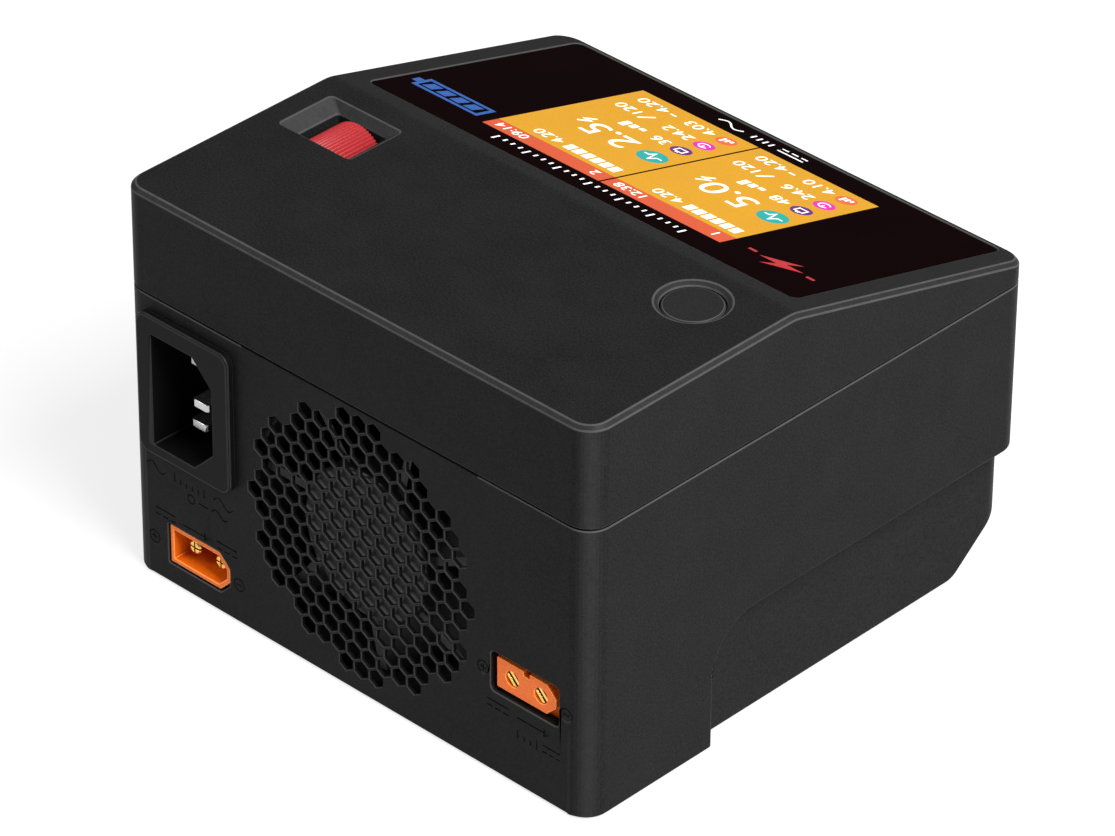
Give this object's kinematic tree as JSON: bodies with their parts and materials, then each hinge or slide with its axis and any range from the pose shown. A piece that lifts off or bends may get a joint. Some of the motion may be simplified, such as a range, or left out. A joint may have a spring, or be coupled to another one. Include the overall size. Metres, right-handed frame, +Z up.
{
  "type": "balance battery charger",
  "caption": "Bench charger for battery packs, with a sloping colour display, scroll wheel, round button, fan grille, mains inlet and keyed DC sockets.",
  "frame": {"origin": "bottom centre of the whole charger's box, on the surface it stands on", "axes": "+Z up; the user stands on the -Y side and reads the display; +Y is the back with the sockets and the fan; +X is the user's right"},
  "size_m": [0.12, 0.1208, 0.0857],
  "materials": {
    "case_plastic": "fine moulded texture",
    "inlet_plastic": "satin moulded",
    "orange_nylon": "satin nylon",
    "gold_contact": "plated",
    "bright_steel": "nickel plated",
    "black_glass": "back-printed glass, opaque border",
    "red_wheel": "ribbed",
    "button_plastic": "fine moulded texture",
    "board": "solder mask",
    "screw_steel": "black zinc",
    "foot_rubber": "matt",
    "black_nylon": "moulded",
    "white_nylon": "moulded",
    "tin_pins": "tinned",
    "ferrite": "sintered",
    "copper": "enamelled wire",
    "aluminium": "extruded",
    "capacitor_sleeve": "shrink sleeve",
    "ribbon": "flat cable",
    "lead_sleeve": "PVC",
    "fuse_glass": "glass tube",
    "sheet": "fibre"
  },
  "bodies": {
    "housing": {"bottom_case": "case_plastic", "fan_grille": "case_plastic", "top_cover": "case_plastic", "ac_inlet": "inlet_plastic", "dc_in_shell": "orange_nylon", "dc_out_block": "orange_nylon", "output_blocks": "orange_nylon", "dc_in_pins": "gold_contact", "dc_out_contacts": "gold_contact", "output_contacts": "gold_contact", "ac_blades": "bright_steel", "usb_shell": "bright_steel", "lcd_panel": "bright_steel", "display_glass": "black_glass", "display_board": "board", "control_board": "board", "main_board": "board", "output_board": "board", "display_screws": "screw_steel", "control_screws": "screw_steel", "board_screws": "screw_steel", "fan_screws": "screw_steel", "case_screws": "screw_steel", "rubber_feet": "foot_rubber", "button_switch": "black_nylon", "wheel_switch": "black_nylon", "fan_frame": "black_nylon", "power_transistors": "black_nylon", "mains_choke": "black_nylon", "usb_tongue": "black_nylon", "balance_sockets": "white_nylon", "balance_pins": "tin_pins", "transformer_core": "ferrite", "transformer_winding": "copper", "output_inductors": "copper", "fan_stator": "copper", "heat_sink": "aluminium", "bulk_capacitors": "capacitor_sleeve", "display_ribbon": "ribbon", "control_ribbon": "ribbon", "mains_leads": "lead_sleeve", "dc_out_leads": "lead_sleeve", "fuse": "fuse_glass", "insulating_sheet": "sheet"},
    "button": {"button_cap": "button_plastic", "button_plunger": "white_nylon"},
    "cradle": {"wheel_cradle": "black_nylon", "wheel_axle": "bright_steel", "wheel_plunger": "white_nylon", "wheel_encoder": "black_nylon"},
    "wheel": {"scroll_wheel": "red_wheel"},
    "rotor": {"fan_rotor": "black_nylon"}
  },
  "joints": [
    {"name": "button_press", "type": "slide", "parent": "housing", "child": "button", "axis": [0, 0, -1], "range_m": [0, 0.0006], "stiffness_N_per_m": 2500, "springref_m": -0.0002},
    {"name": "wheel_press", "type": "slide", "parent": "housing", "child": "cradle", "axis": [0, 0, -1], "range_m": [0, 0.0006], "stiffness_N_per_m": 3000, "springref_m": -0.0002},
    {"name": "wheel_spin", "type": "hinge", "parent": "cradle", "child": "wheel", "pos_m": [0.04435, 0.0173, 0.0775], "axis": [0, 1, 0], "continuous": true},
    {"name": "fan_spin", "type": "hinge", "parent": "housing", "child": "rotor", "pos_m": [-0.002, 0.04865, 0.0331], "axis": [0, 1, 0], "continuous": true}
  ]
}
